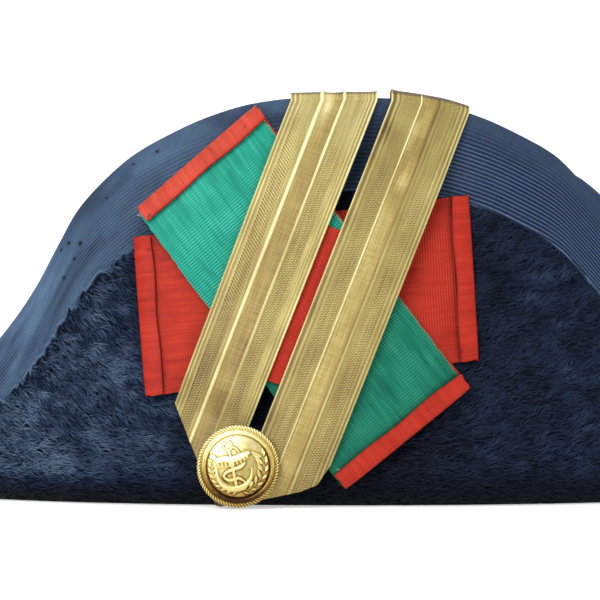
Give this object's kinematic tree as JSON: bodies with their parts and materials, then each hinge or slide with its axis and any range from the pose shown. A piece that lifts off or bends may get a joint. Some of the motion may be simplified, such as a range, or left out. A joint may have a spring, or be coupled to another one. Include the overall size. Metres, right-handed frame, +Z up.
{
  "type": "bicorne",
  "caption": "Navy plush two-cornered hat with bound turned-up flaps, ribbon cockade, gold lace loop and gilt anchor button.",
  "frame": {"origin": "middle of the hat's bounding box, on the flat underside of the brim", "axes": "+X along the hat from tip to tip, -Y towards the decorated front flap, +Z up"},
  "size_m": [0.46, 0.1944, 0.1318],
  "materials": {
    "plush": "long silky nap, brushed along the hat",
    "grosgrain": "ribbed along the edge, matt",
    "red_silk": "ribbed moire, soft sheen",
    "green_silk": "ribbed moire, soft sheen",
    "gold_lace": "woven metal thread, a little tarnished",
    "gilt": "stamped and gilt, polished high parts"
  },
  "bodies": {
    "root": {"crown": "plush", "front_brim": "plush", "back_brim": "plush", "front_binding": "grosgrain", "back_binding": "grosgrain", "red_ribbon": "red_silk", "red_backing": "red_silk", "green_ribbon": "green_silk", "red_patch": "red_silk", "gold_lace": "gold_lace", "button": "gilt"}
  },
  "joints": []
}
